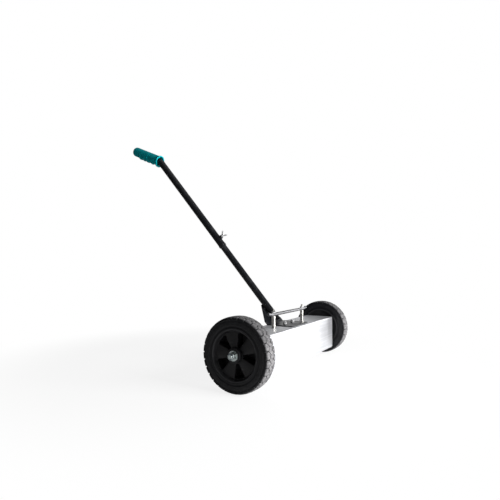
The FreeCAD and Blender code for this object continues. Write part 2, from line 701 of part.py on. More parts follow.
def bracket_bolt(x):
    """Bolt through the housing and the bracket, with its head inside the box."""
    under = HOUSING_TOP - SHEET
    top = BRACKET_TOP + M6_WASHER + M6_NUT_HEIGHT + BRACKET_BOLT_PROUD
    head = chamfered_hexagon(M6_FLATS, V(x, 0, under), V(x, 0, under - M6_HEAD_HEIGHT))
    return head.fuse(chamfered_stud(V(x, 0, under), V(x, 0, top))).removeSplitter()


def bracket_washer(x):
    """Flat washer under a bracket nut."""
    return pipe(M6_WASHER_RADIUS, STUD_RADIUS, V(x, 0, BRACKET_TOP), V(x, 0, BRACKET_TOP + M6_WASHER))


def bracket_nut(x):
    """Nut on top of the handle bracket."""
    low = BRACKET_TOP + M6_WASHER
    ends = (V(x, 0, low), V(x, 0, low + M6_NUT_HEIGHT))
    return chamfered_hexagon(M6_FLATS, *ends, both=True).cut(cylinder(STUD_RADIUS, *ends))


# ---------------------------------------------------------------- handle

def lower_tube():
    """Straight tube welded to the bracket; its upper end is inside the upper tube."""
    inner = LOWER_TUBE_RADIUS - LOWER_TUBE_WALL
    return pipe(LOWER_TUBE_RADIUS, inner, tube_point(LOWER_TUBE_START), tube_point(LOWER_TUBE_END))


def bent_bar(radius, start, end):
    """A solid bar that follows the upper tube's axis round its bend."""
    centre = tube_point(BEND_START, -HANDLE_BEND_RADIUS)
    straight = cylinder(radius, tube_point(start), tube_point(BEND_START))
    section = Part.Face(Part.Wire(Part.makeCircle(radius, tube_point(BEND_START), TUBE_DIRECTION)))
    bend = section.revolve(centre, X_AXIS, GRIP_ANGLE - HANDLE_ANGLE)
    last = cylinder(radius, grip_point(BEND_TANGENT), grip_point(end))
    return straight.fuse([bend, last])


def upper_tube():
    """Sliding tube with a rolled lower lip, a clamp hole, and a bent end for the grip."""
    last = GRIP_END - GRIP_END_WALL
    lip_end = UPPER_TUBE_START + TUBE_LIP_LENGTH
    outside = bent_bar(UPPER_TUBE_RADIUS, UPPER_TUBE_START, last)
    lip = cylinder(UPPER_TUBE_RADIUS + TUBE_LIP, tube_point(UPPER_TUBE_START), tube_point(lip_end))
    tube = outside.fuse(lip.makeFillet(TUBE_LIP_ROUND, lip.Edges))
    tube = tube.cut(bent_bar(UPPER_TUBE_BORE, UPPER_TUBE_START - OVERCUT, last + OVERCUT))
    return tube.cut(clamp_hole()).removeSplitter()


def clamp_hole():
    """A cutter for the wing bolt's hole through the boss and the wall of the upper tube."""
    ends = (tube_point(CLAMP_AT), tube_point(CLAMP_AT, CLAMP_BOSS_TOP + OVERCUT))
    return cylinder(STUD_RADIUS + RUNNING_CLEARANCE, *ends)


def clamp_boss():
    """Round weld nut on the upper tube, threaded for the wing bolt."""
    top = tube_point(CLAMP_AT, CLAMP_BOSS_TOP)
    boss = cylinder(CLAMP_BOSS_RADIUS, tube_point(CLAMP_AT, CLAMP_BOSS_FOOT), top)
    rim = [e for e in boss.Edges if e.CenterOfMass.distanceToPoint(top) < CLAMP_BOSS_ROUND]
    boss = boss.makeFillet(CLAMP_BOSS_ROUND, rim)
    reach = CLAMP_BOSS_RADIUS + OVERCUT
    tube = cylinder(UPPER_TUBE_RADIUS, tube_point(CLAMP_AT - reach), tube_point(CLAMP_AT + reach))
    return boss.cut(tube).cut(clamp_hole())


def wing_bolt():
    """Wing bolt whose tip presses the lower tube and so locks the handle's length."""
    tip = tube_point(CLAMP_AT, LOWER_TUBE_RADIUS + CLAMP_TIP_GAP)
    shank = cylinder(STUD_RADIUS, tip, tube_point(CLAMP_AT, WING_HUB_BASE + 1))
    hub_ends = (tube_point(CLAMP_AT, WING_HUB_BASE), tube_point(CLAMP_AT, WING_HUB_TOP))
    hub = cone(WING_HUB_BASE_RADIUS, WING_HUB_TOP_RADIUS, *hub_ends)
    turn_sin, turn_cos = radians_sin_cos(WING_TURN)
    spread = TUBE_DIRECTION * turn_cos - X_AXIS * turn_sin
    across = TUBE_NORMAL.cross(spread).normalize() * (WING_THICKNESS / 2)
    pieces = [hub]
    for side in (-1, 1):
        outward = spread * side
        root_low = hub_ends[0] + TUBE_NORMAL * WING_ROOT_LOW + outward * WING_ROOT_OFFSET
        root_high = hub_ends[1] - TUBE_NORMAL * WING_ROOT_DROP + outward * WING_ROOT_OFFSET
        tip = tube_point(CLAMP_AT, WING_TIP_HEIGHT) + outward * WING_TIP_OFFSET
        arm = (tip - (root_low + root_high) / 2).normalize()
        edge = (outward - arm * outward.dot(arm)).normalize() * WING_TIP_RADIUS
        pieces.append(cylinder(WING_TIP_RADIUS, tip - across, tip + across))
        outline = [root_low, tip + edge, tip - edge, root_high]
        pieces.append(prism([corner - across for corner in outline], across * 2))
    return shank.fuse(pieces).removeSplitter()


def grip():
    """Rubber grip: a closed sleeve with a wide flange and a flared mouth around the bent tube."""
    round_start = GRIP_END - GRIP_END_ROUND
    flange_end = GRIP_START + GRIP_FLANGE_LENGTH
    bore = UPPER_TUBE_RADIUS
    mouth_end = GRIP_START + GRIP_MOUTH_DEPTH
    cavity_end = GRIP_END - GRIP_END_WALL
    diagonal = GRIP_END_ROUND * (1 - math.sqrt(0.5))
    arc = [(round_start, GRIP_RADIUS), (GRIP_END - diagonal, GRIP_RADIUS - diagonal)]
    arc += [(GRIP_END, GRIP_RADIUS - GRIP_END_ROUND)]
    outline = [(GRIP_END, GRIP_RADIUS - GRIP_END_ROUND), (GRIP_END, 0), (cavity_end, 0)]
    outline += [(cavity_end, bore), (mouth_end, bore), (GRIP_START, GRIP_MOUTH_RADIUS)]
    outline += [(GRIP_START, GRIP_FLANGE_RADIUS - GRIP_FLANGE_ROUND)]
    outline += [(GRIP_START + GRIP_FLANGE_ROUND, GRIP_FLANGE_RADIUS)]
    outline += [(flange_end, GRIP_FLANGE_RADIUS - GRIP_FLANGE_BACK_DROP)]
    outline += [(flange_end + GRIP_FLANGE_BACK_LENGTH, GRIP_RADIUS), (round_start, GRIP_RADIUS)]
    points = [grip_point(along, radius) for along, radius in outline]
    edges = [Part.makeLine(a, b) for a, b in zip(points, points[1:])]
    edges.append(Part.Arc(*[grip_point(along, radius) for along, radius in arc]).toShape())
    face = Part.Face(Part.Wire(Part.__sortEdges__(edges)))
    return face.revolve(grip_point(0), GRIP_DIRECTION, 360)


# ---------------------------------------------------------------- write every node

os.makedirs("parts", exist_ok=True)

save("housing_shell", housing_shell())
save("bottom_plate", bottom_plate())
save("end_plate_right", end_plate())
save("end_plate_left", mirrored(end_plate()))
save("end_plate_screws", at_each_end_screw(end_plate_screw))
save("end_plate_weld_nuts", at_each_end_screw(weld_nut))

for side_name, placed in (("right", lambda shape: shape), ("left", mirrored)):
    save("axle_bolt_" + side_name, placed(axle_bolt()))
    save("wheel_hub_" + side_name, placed(wheel_hub()))
    save("wheel_bush_" + side_name, placed(wheel_bush()))
    save("tyre_" + side_name, placed(tyre()))
    save("lift_rod_" + side_name, placed(lift_rod()))

save("axle_lock_nuts", both_sides(lock_nut()))
save("axle_inner_washers", both_sides(washer(INNER_WASHER_START)))
save("axle_outer_washers", both_sides(washer(OUTER_WASHER_START)))
save("axle_end_nuts", both_sides(end_nut()))
save("axle_nut_inserts", both_sides(nut_insert()))

save("magnet_carrier", magnet_carrier())
save("magnet_blocks", magnet_blocks())
save("lift_sockets", both_sides(lift_socket()))
save("lift_bar", lift_bar())
save("lift_bar_nuts", both_sides(bar_nut()))
save("rod_guides", both_sides(rod_guide()))

save("handle_bracket", handle_bracket())
save("tube_welds", both_sides(tube_weld()))
save("bracket_bolts", both_sides(bracket_bolt(BRACKET_BOLT_X)))
save("bracket_washers", both_sides(bracket_washer(BRACKET_BOLT_X)))
save("bracket_nuts", both_sides(bracket_nut(BRACKET_BOLT_X)))

save("lower_tube", lower_tube())
save("upper_tube", upper_tube())
save("clamp_boss", clamp_boss())
save("wing_bolt", wing_bolt())
save("grip", grip())
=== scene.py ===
"""Looks of the magnetic nail sweeper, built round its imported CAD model.

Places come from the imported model, in metres: X runs along the axle, -Y is the front, +Z is up.
Shapes are written in millimetres in each piece's own axes and scaled by MM when they are placed.
"""
import bmesh
import bpy
import json
import math
from mathutils import Matrix, Vector


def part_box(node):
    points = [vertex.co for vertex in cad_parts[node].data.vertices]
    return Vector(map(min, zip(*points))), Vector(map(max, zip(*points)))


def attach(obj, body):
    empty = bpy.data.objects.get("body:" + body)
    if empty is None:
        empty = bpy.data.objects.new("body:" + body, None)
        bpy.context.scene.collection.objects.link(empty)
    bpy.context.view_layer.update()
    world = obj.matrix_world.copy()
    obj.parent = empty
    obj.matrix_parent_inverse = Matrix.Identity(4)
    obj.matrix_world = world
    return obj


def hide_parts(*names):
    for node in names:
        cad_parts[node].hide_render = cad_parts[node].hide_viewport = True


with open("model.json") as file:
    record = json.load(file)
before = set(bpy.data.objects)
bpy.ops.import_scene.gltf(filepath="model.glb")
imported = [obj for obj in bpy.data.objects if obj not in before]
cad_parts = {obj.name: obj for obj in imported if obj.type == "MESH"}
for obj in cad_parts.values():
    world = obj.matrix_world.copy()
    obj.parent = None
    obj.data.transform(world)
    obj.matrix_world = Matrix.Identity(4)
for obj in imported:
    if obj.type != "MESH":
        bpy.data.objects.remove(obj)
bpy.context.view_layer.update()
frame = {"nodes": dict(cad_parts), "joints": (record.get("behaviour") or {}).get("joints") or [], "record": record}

MM = 0.001
SIDES = ("left", "right")

# Wheels, in millimetres; heights along the axle are from the wheel's middle, outwards
TYRE_HALF_WIDTH = 24.5
TYRE_CROWN = 100.0
TYRE_SHOULDER = 93.6
TREAD_PITCHES = 30
TREAD_PHASE = {"left": 0.93, "right": -0.3}
GROOVE_DEPTH = 2.6
SLOT_DEPTH = 3.2
SHOULDER_SLOT_DEPTH = 3.4
SHOULDER_SLOT_LENGTH = 4.0
ZIGZAG_MIDDLE = 10.0
ZIGZAG_SWING = 4.6
GROOVE_FLOOR_HALF = 0.9
GROOVE_TOP_HALF = 1.7
SLOT_FLOOR_SHARE = 0.05
SLOT_TOP_SHARE = 0.10
SPOKES = 5
FIRST_SPOKE = 31.0
SPOKE_FACE = 14.5
POCKET_FLOOR = -12.5
BACK_FACE = -20.5
CELL_INNER = 20.5
CELL_OUTER = 61.0
CELL_ARC_STEPS = 24
CELL_SIDE_STEPS = 8
POCKET_INNER = 22.0
POCKET_OUTER = 59.5
POCKET_INNER_HALF_ANGLE = 11.5
POCKET_OUTER_HALF_ANGLE = 16.0
POCKET_SQUARENESS = 11.0

# Fasteners, in millimetres
ROUND_STEPS = 72
M12 = {"radius": 6.0, "pitch": 1.75, "flats": 19.0, "washer": 13.5, "washer_bore": 6.05}
M6 = {"radius": 3.0, "pitch": 1.0, "flats": 10.0, "washer": 6.0, "washer_bore": 3.02}
THREAD_DEPTH_SHARE = 0.5
THREAD_RINGS_PER_TURN = 6
THREAD_TIP_SLOPE = 0.9
HEX_FACE_INSET = 0.25
NUT_CLEARANCE = 0.02
END_PLATE = 3.0
AXLE_THREAD = 18.0
LOCK_NUT_HEIGHT = 7.0
END_NUT_HEIGHT = 12.0
END_NUT_HEX_HEIGHT = 8.0
AXLE_WASHER_HEIGHT = 2.0
M6_HEAD_HEIGHT = 4.0
M6_THREAD_BELOW_NUT = 2.0

# Lift rods, in millimetres
ROD_RADIUS = 6.0
ROD_FOOT_RADIUS = 4.0
ROD_FOOT_LENGTH = 16.0
ROD_SHOULDER_RISE = 1.2

# Grip, in millimetres from its middle towards its closed end
GRIP_RADIUS = 18.5
GRIP_FLANGE = 22.5
GRIP_MOUTH = 18.0
GRIP_SWELL = 0.9
FLANGE_DROP = 3.5
FINGER_CRESTS = (-40.0, -14.0, 8.5, 31.0)
FINGER_RISE = 4.6
FINGER_HALF_LENGTH = 7.0
GRIP_STEPS = 64
GRIP_BODY_STEPS = 150
GRIP_ROUNDING = 9.0
GRIP_END_WALL = 4.0
FLANGE_LENGTH = 12.0
GRIP_DOT_PITCH = 5.2

# Wing bolt and weld beads, in millimetres and degrees
WING_TIP = (9.8, 16.8)
WING_TIP_RADIUS = 2.5
WING_TIP_START = -40.0
WING_TIP_STEPS = 10
WING_TIP_STEP = 18.5
WING_TURN = 20.0
WING_HUB_GAP = 0.5
WELD_OFFSET = 7.6
WELD_SINK = 1.0
WELD_RADIUS = 3.1
WELD_RIPPLE = 0.22
WELD_RIPPLE_PITCH = 2.4
WELD_STEP = 0.6
WELD_END = 3.0
WELD_ROUND_STEPS = 20


# ---------------------------------------------------------------- places taken from the frame

def middle(node):
    """The middle of a CAD node's box."""
    low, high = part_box(node)
    return (low + high) / 2


def joint(name):
    """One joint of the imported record."""
    return next(j for j in frame["joints"] if j["name"] == name)


def mount(name):
    """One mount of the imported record."""
    return next(m for m in frame["record"]["mounts"] if m["name"] == name)


def reach(node, origin, axis):
    """Lowest and highest distance of a CAD node's points along an axis, in millimetres."""
    along = [(v.co - origin).dot(axis) / MM for v in frame["nodes"][node].data.vertices]
    return min(along), max(along)


def axis_frame(origin, axis, side):
    """Placement in millimetres whose Z runs along an axis and whose X is nearest to a side."""
    z = Vector(axis).normalized()
    x = Vector(side)
    x = (x - z * x.dot(z)).normalized()
    turn = Matrix((x, z.cross(x), z)).transposed().to_4x4()
    return Matrix.Translation(origin) @ turn @ Matrix.Scale(MM, 4)


TUBE_DIRECTION = Vector(joint("handle_extend")["axis"])
TUBE_NORMAL = Vector(joint("wing_bolt_turn")["axis"])
GRIP_DIRECTION = Vector(mount("grip_hold")["axis"])
WHEEL_MIDDLE = {side: Vector(joint(side + "_wheel_spin")["pos_m"]) for side in SIDES}
AXLE = Vector((1, 0, 0))
OUTWARD = {"left": -AXLE, "right": AXLE}
FORWARD = Vector((0, -1, 0))
UP = Vector((0, 0, 1))
LOWER_TUBE_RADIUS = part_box("lower_tube")[1].x / MM
TUBE_LIP = 1.0
GRIP_CLEARANCE = 0.05
GRIP_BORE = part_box("upper_tube")[1].x / MM - TUBE_LIP + GRIP_CLEARANCE
GRIP_PLACE = Vector(mount("grip_hold")["pos_m"])
GRIP_ENDS = reach("grip", GRIP_PLACE, GRIP_DIRECTION)


# ---------------------------------------------------------------- meshes

def skin(rings, closed=False):
    """Points and faces over a row of rings; the row closes on itself, or is capped at both ends."""
    count = len(rings[0])
    points = [point for ring in rings for point in ring]
    faces = []
    for row in range(len(rings) if closed else len(rings) - 1):
        low = row * count
        high = (row + 1) % len(rings) * count
        for step in range(count):
            after = (step + 1) % count
            faces.append((low + step, low + after, high + after, high + step))
    if not closed:
        faces.append(tuple(reversed(range(count))))
        faces.append(tuple(range(len(points) - count, len(points))))
    return points, faces


def polar(radius, angle, along):
    """A point at a radius and an angle round the Z axis."""
    return Vector((radius * math.cos(angle), radius * math.sin(angle), along))


def circle(along, radius, steps=ROUND_STEPS, start=0.0):
    """A ring of points round the Z axis. The radius is a number or a function of the angle."""
    ring = []
    for step in range(steps):
        angle = start + step * math.tau / steps
        ring.append(polar(radius(angle) if callable(radius) else radius, angle, along))
    return ring


def lathe(profile, closed=False, steps=ROUND_STEPS, start=0.0):
    """A turned shape from (along, radius) points."""
    return skin([circle(along, radius, steps, start) for along, radius in profile], closed)


def placed(shape, matrix):
    """A shape moved from its own millimetres into the frame."""
    points, faces = shape
    return [matrix @ point for point in points], faces


def add_piece(name, shapes, material, body, replaced, weld=0.0, sharp=32.0):
    """One visible piece from placed shapes. It rides on a body and stands for CAD nodes."""
    built = bmesh.new()
    for points, faces in shapes:
        verts = [built.verts.new(point) for point in points]
        for face in faces:
            built.faces.new([verts[index] for index in face])
    if weld:
        bmesh.ops.remove_doubles(built, verts=built.verts, dist=weld)
    bmesh.ops.recalc_face_normals(built, faces=built.faces)
    for face in built.faces:
        face.smooth = True
    for edge in built.edges:
        edge.smooth = edge.calc_face_angle(0.0) < math.radians(sharp)
    mesh = bpy.data.meshes.new(name)
    built.to_mesh(mesh)
    built.free()
    mesh.materials.append(material)
    piece = bpy.data.objects.new(name, mesh)
    bpy.context.scene.collection.objects.link(piece)
    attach(piece, body)
    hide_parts(*replaced)
    return piece


# ---------------------------------------------------------------- materials

class Surface:
    """A principled material under construction, in the object's own coordinates."""

    def __init__(self, name, roughness, metallic=0.0, specular=0.5):
        self.material = bpy.data.materials.new(name)
        self.material.use_nodes = True
        self.tree = self.material.node_tree
        self.shader = self.tree.nodes["Principled BSDF"]
        self.shader.inputs["Roughness"].default_value = roughness
        self.shader.inputs["Metallic"].default_value = metallic
        self.shader.inputs["Specular IOR Level"].default_value = specular
        self.place = self.tree.nodes.new("ShaderNodeTexCoord").outputs["Object"]

    def node(self, kind, inputs=(), **settings):
        """A new node with its settings, and its inputs linked or given values."""
        made = self.tree.nodes.new(kind)
        for name, value in settings.items():
            setattr(made, name, value)
        for name, value in inputs:
            if isinstance(value, bpy.types.NodeSocket):
                self.tree.links.new(value, made.inputs[name])
            else:
                made.inputs[name].default_value = value
        return made

    def noise(self, scale, detail=3.0, stretch=(1, 1, 1)):
        """Noise whose grain is about 1 / scale metres, stretched along the axes."""
        mapped = self.node("ShaderNodeMapping", [("Vector", self.place), ("Scale", stretch)])
        inputs = [("Vector", mapped.outputs[0]), ("Scale", scale), ("Detail", detail)]
        return self.node("ShaderNodeTexNoise", inputs).outputs["Fac"]

    def band(self, value, low, high, bottom=0.0, top=1.0):
        """Turns a value smoothly from bottom to top between low and high."""
        inputs = [("Value", value), ("From Min", low), ("From Max", high)]
        inputs += [("To Min", bottom), ("To Max", top)]
        ranged = self.node("ShaderNodeMapRange", inputs, interpolation_type="SMOOTHSTEP")
        return ranged.outputs["Result"]

    def maths(self, operation, first, second=0.5):
        """A sum, product or the like of two values."""
        return self.node("ShaderNodeMath", [(0, first), (1, second)], operation=operation).outputs[0]

    def vector_maths(self, operation, first, second=(0.0, 0.0, 0.0)):
        """Both outputs, vector and value, of one step of vector arithmetic."""
        inputs = [(0, first), (1, second)]
        vector, value = self.node("ShaderNodeVectorMath", inputs, operation=operation).outputs
        return vector, value

    def mix(self, factor, first, second):
        """A colour between two colours."""
        made = self.node("ShaderNodeMix", data_type="RGBA")
        sockets = (made.inputs["Factor"], made.inputs[6], made.inputs[7])
        for socket, value in zip(sockets, (factor, first, second)):
            if isinstance(value, bpy.types.NodeSocket):
                self.tree.links.new(value, socket)
            else:
                socket.default_value = value if isinstance(value, float) else (*value, 1.0)
        return made.outputs[2]

    def distance_from(self, point, axis):
        """Distance in metres from the line through a point along an axis."""
        away = self.vector_maths("SUBTRACT", self.place, point)[0]
        across = self.vector_maths("CROSS_PRODUCT", away, axis)[0]
        return self.vector_maths("LENGTH", across)[1]

    def along(self, point, axis):
        """Distance in metres from a point along an axis."""
        away = self.vector_maths("SUBTRACT", self.place, point)[0]
        return self.vector_maths("DOT_PRODUCT", away, axis)[1]

    def finish(self, colour, roughness=None, height=None, depth=0.0001, strength=0.5):
        """Links colour, roughness and bump to the shader."""
        self.tree.links.new(colour, self.shader.inputs["Base Color"])
        if roughness is not None:
            self.tree.links.new(roughness, self.shader.inputs["Roughness"])
        if height is not None:
            inputs = [("Height", height), ("Distance", depth), ("Strength", strength)]
            bump = self.node("ShaderNodeBump", inputs)
            self.tree.links.new(bump.outputs["Normal"], self.shader.inputs["Normal"])
        return self.material


def brushed_stainless():
    """Satin stainless sheet: long fine scratches along X, and faint cloudy handling marks."""
    s = Surface("satin_stainless", 0.46, metallic=0.9)
    scratches = s.noise(1.0, 4.0, (12, 1500, 1500))
    streaks = s.noise(1.0, 3.0, (4, 200, 200))
    clouds = s.noise(9.0, 4.0)
    shade = s.maths("ADD", s.maths("MULTIPLY", streaks, 0.55), s.maths("MULTIPLY", clouds, 0.45))
    colour = s.mix(s.band(shade, 0.36, 0.64), (0.56, 0.565, 0.585), (0.70, 0.705, 0.73))
    return s.finish(colour, s.band(clouds, 0.3, 0.7, 0.41, 0.5), scratches, 0.00004, 0.25)


ROD_DARK = (0.42, 0.41, 0.385)
ROD_LIGHT = (0.64, 0.63, 0.60)
BAR_DARK = (0.17, 0.17, 0.178)
BAR_LIGHT = (0.27, 0.27, 0.28)


def bright_steel(name, dark, light, smooth, dull):
    """Drawn bright bar: faint marks, a shade between two colours, and a range of roughness."""
    s = Surface(name, smooth, metallic=1.0)
    marks = s.noise(60.0, 3.0)
    colour = s.mix(s.band(marks, 0.35, 0.7), dark, light)
    return s.finish(colour, s.band(marks, 0.3, 0.7, smooth, dull), s.noise(400.0, 2.0), 0.00003, 0.15)


def zinc():
    """Bright zinc plating: slightly green-blue, with a fine mottled crystal."""
    s = Surface("zinc_plating", 0.3, metallic=1.0)
    crystal = s.noise(700.0, 2.0)
    stains = s.noise(110.0, 3.0)
    colour = s.mix(s.band(stains, 0.3, 0.7), (0.30, 0.34, 0.335), (0.56, 0.60, 0.59))
    return s.finish(colour, s.band(stains, 0.3, 0.7, 0.26, 0.42), crystal, 0.00004, 0.3)


def plain_steel():
    """Mill-finish steel with a blue-grey scale."""
    s = Surface("mill_steel", 0.45, metallic=1.0)
    scale = s.noise(45.0, 5.0)
    colour = s.mix(s.band(scale, 0.35, 0.65), (0.16, 0.165, 0.18), (0.42, 0.42, 0.43))
    return s.finish(colour, s.band(scale, 0.3, 0.7, 0.38, 0.6), s.noise(500.0), 0.00008, 0.5)


def ferrite():
    """Sintered ferrite: matt dark grey with pores."""
    s = Surface("sintered_ferrite", 0.7)
    pores = s.noise(900.0, 2.0)
    colour = s.mix(s.band(s.noise(60.0), 0.35, 0.65), (0.05, 0.05, 0.055), (0.10, 0.10, 0.11))
    return s.finish(colour, None, s.band(pores, 0.3, 0.45), 0.0002, 0.6)


def black_paint():
    """Semi-gloss black powder coat with orange peel and a little dust."""
    s = Surface("powder_coat", 0.4, specular=0.26)
    peel = s.noise(420.0, 1.5)
    dust = s.noise(38.0, 5.0)
    colour = s.mix(s.band(dust, 0.5, 0.85), (0.0065, 0.007, 0.0085), (0.022, 0.023, 0.026))
    return s.finish(colour, s.band(dust, 0.3, 0.75, 0.30, 0.46), peel, 0.00022, 0.5)


def wheel_plastic():
    """Black moulded plastic: fine spark-eroded grain, faint flow marks and a painted highlight, a greyer ring
    along the outer rim's edge.
    """
    s = Surface("moulded_plastic", 0.5, specular=0.22)
    grain = s.noise(1200.0, 2.0)
    flow = s.noise(30.0, 3.0, (0.4, 1, 1))
    colour = s.mix(s.band(flow, 0.35, 0.7), (0.0055, 0.0055, 0.0065), (0.0105, 0.0105, 0.0115))
    # Painted highlight: a greyer ring where the rim's edge would catch the light.
    painted_rim_highlight = s.band(s.distance_from(WHEEL_MIDDLE["left"], AXLE), 0.0645, 0.0660)
    colour = s.mix(painted_rim_highlight, colour, (0.022, 0.022, 0.024))
    return s.finish(colour, s.band(flow, 0.3, 0.7, 0.42, 0.6), grain, 0.0001, 0.4)


def black_nylon():
    """Black nylon bush material."""
    s = Surface("bush_nylon", 0.45)
    colour = s.mix(s.band(s.noise(120.0), 0.35, 0.65), (0.012, 0.012, 0.012), (0.024, 0.024, 0.024))
    return s.finish(colour, None, s.noise(900.0), 0.00008, 0.4)


def blue_nylon():
    """Nylon locking ring."""
    s = Surface("ring_nylon", 0.42)
    colour = s.mix(s.band(s.noise(300.0), 0.35, 0.65), (0.10, 0.15, 0.20), (0.16, 0.22, 0.28))
    return s.finish(colour, None, s.noise(1200.0), 0.00006, 0.4)


def tyre_rubber():
    """Solid black rubber: a dusty grey tread, darker at its top as painted shade, and a faint patchy lighter band
    on the raised side ring.
    """
    s = Surface("dusty_rubber", 0.62, specular=0.2)
    radius = s.distance_from(WHEEL_MIDDLE["left"], AXLE)
    patches = s.noise(140.0, 4.0)
    grit = s.noise(700.0, 3.0)
    worn = s.band(radius, 0.0955, 0.0990)
    spread = s.maths("ADD", s.maths("MULTIPLY", patches, 0.4), s.maths("MULTIPLY", grit, 0.6))
    dust_and_top_shade = s.maths("MULTIPLY", worn, s.band(spread, 0.38, 0.60, 0.30, 1.0))
    # Painted shade: the tread's dust fades towards its top, so the top is darker.
    painted_top_shade = s.band(s.along(WHEEL_MIDDLE["left"], UP), 0.015, 0.070, 1.0, 0.55)
    dust_and_top_shade = s.maths("MULTIPLY", dust_and_top_shade, painted_top_shade)
    # A faint patchy lightening of the raised side band, between radii of about 77 and 89 mm.
    raised = s.maths("MULTIPLY", s.band(radius, 0.0765, 0.0785), s.band(radius, 0.0895, 0.0885))
    lighter_side_band = s.maths("MULTIPLY", raised, s.band(patches, 0.3, 0.7, 0.006, 0.03))
    # This mask holds the tread dust, the painted shade at the top and the lighter side band.
    dust = s.maths("MAXIMUM", dust_and_top_shade, lighter_side_band)
    colour = s.mix(dust, (0.0045, 0.0048, 0.0060), (0.215, 0.210, 0.215))
    roughness = s.band(dust, 0.0, 0.6, 0.5, 0.85)
    return s.finish(colour, roughness, s.maths("ADD", grit, patches), 0.00018, 0.5)


def teal_rubber():
    """Soft teal grip rubber with small raised dots, a painted highlight round its mouth that is strongest on top,
    and painted shade darkening its closed end.
    """
    s = Surface("grip_rubber", 0.62, specular=0.05)
    along = s.along(GRIP_PLACE, GRIP_DIRECTION)
    mouth, end = (limit * MM for limit in GRIP_ENDS)
    waves = []
    for lean in (-0.8, 0.8):
        axis = (GRIP_DIRECTION + lean * AXLE).normalized()
        turns = s.maths("MULTIPLY", s.along(GRIP_PLACE, axis), math.tau / (GRIP_DOT_PITCH * MM))
        waves.append(s.maths("SINE", turns))
    dots = s.maths("MULTIPLY", waves[0], waves[1])
    cloud = s.noise(80.0, 4.0)
    body = s.mix(s.band(cloud, 0.3, 0.7), (0.0004, 0.205, 0.228), (0.0008, 0.250, 0.278))
    body = s.mix(s.band(dots, 0.35, 0.95, 0.0, 0.35), body, (0.004, 0.320, 0.350))
    # Painted shade: the body darkens towards the closed end.
    body = s.mix(s.band(along, end - 0.012, end - 0.004, 0.0, 0.75), body, (0.0003, 0.030, 0.034))
    above = s.along(GRIP_PLACE, AXLE.cross(GRIP_DIRECTION))
    # Painted highlight: a bright band round the mouth, strongest on its upper side.
    lip = s.band(along, mouth + 0.0008, mouth + 0.0032, 1.0, 0.0)
    painted_rim_highlight = s.maths("MULTIPLY", lip, s.band(above, -0.014, 0.014, 0.1, 1.0))
    colour = s.mix(painted_rim_highlight, body, (0.006, 0.42, 0.48))
    return s.finish(colour, s.band(cloud, 0.3, 0.7, 0.52, 0.68), dots, 0.0002, 0.3)


def cast_zinc():
    """Zinc die casting: light neutral grey with mottled skin marks."""
    s = Surface("cast_zinc", 0.45, metallic=0.75)
    skin_marks = s.noise(260.0, 3.0)
    colour = s.mix(s.band(skin_marks, 0.3, 0.7), (0.44, 0.44, 0.45), (0.66, 0.66, 0.66))
    return s.finish(colour, s.band(skin_marks, 0.3, 0.7, 0.36, 0.5), s.noise(900.0, 2.0), 0.00005, 0.3)


# ---------------------------------------------------------------- wheels

def zigzag(share):
    """A zigzag from -1 to 1 over one pitch of the tread."""
    return 1 - 4 * abs(share % 1 - 0.5)


def crown(across):
    """Radius of the tyre's outside over the tread and its rounded shoulders."""
    fall = 1 - (abs(across) / TYRE_HALF_WIDTH) ** 4
    return TYRE_SHOULDER + (TYRE_CROWN - TYRE_SHOULDER) * math.sqrt(max(fall, 0.0))


def cut_share(share, centre):
    """1 on the floor of a cross slot, 0 on the block beside it."""
    away = abs((share - centre + 0.5) % 1 - 0.5)
    return min(max((SLOT_TOP_SHARE - away) / (SLOT_TOP_SHARE - SLOT_FLOOR_SHARE), 0.0), 1.0)


def tread_columns():
    """Shares of one pitch at which the tread is sampled: block edges, slot floors and between."""
    columns = []
    for centre in (0.0, 0.5):
        for away in (0.0, SLOT_FLOOR_SHARE, SLOT_TOP_SHARE):
            columns += [centre + away, (centre - away) % 1]
        columns.append(centre + 0.25)
    return sorted(set(columns))


def half_tread(share):
    """(across, radius) points of half a tread section, from its shoulder to the middle.

    The groove zigzags along the tyre. Cross slots leave its outer corners for the shoulder, and
    short notches leave its inner corners for the middle.
    """
    groove = ZIGZAG_MIDDLE + ZIGZAG_SWING * zigzag(share)
    slot, notch = cut_share(share, 0.5), cut_share(share, 0.0)
    section = [(TYRE_HALF_WIDTH, 91.8), (TYRE_HALF_WIDTH, 93.2 - 1.2 * slot)]
    for across in (24.3, 23.7, 22.6, 21.0, 19.2, 17.4):
        inwards = min((TYRE_HALF_WIDTH - across) / SHOULDER_SLOT_LENGTH, 1.0)
        depth = SHOULDER_SLOT_DEPTH + (SLOT_DEPTH - SHOULDER_SLOT_DEPTH) * inwards
        section.append((across, crown(across) - slot * depth))
    outer_edge = groove + GROOVE_TOP_HALF
    section.append((outer_edge, crown(outer_edge) - slot * SLOT_DEPTH))
    for across in (groove + GROOVE_FLOOR_HALF, groove - GROOVE_FLOOR_HALF):
        section.append((across, crown(across) - GROOVE_DEPTH))
    inner_edge = groove - GROOVE_TOP_HALF
    section.append((inner_edge, crown(inner_edge) - notch * SLOT_DEPTH))
    section.append((inner_edge * 0.62, crown(inner_edge) - notch * SLOT_DEPTH * 0.9))
    section.append((inner_edge * 0.3, TYRE_CROWN - notch * 0.4))
    return section


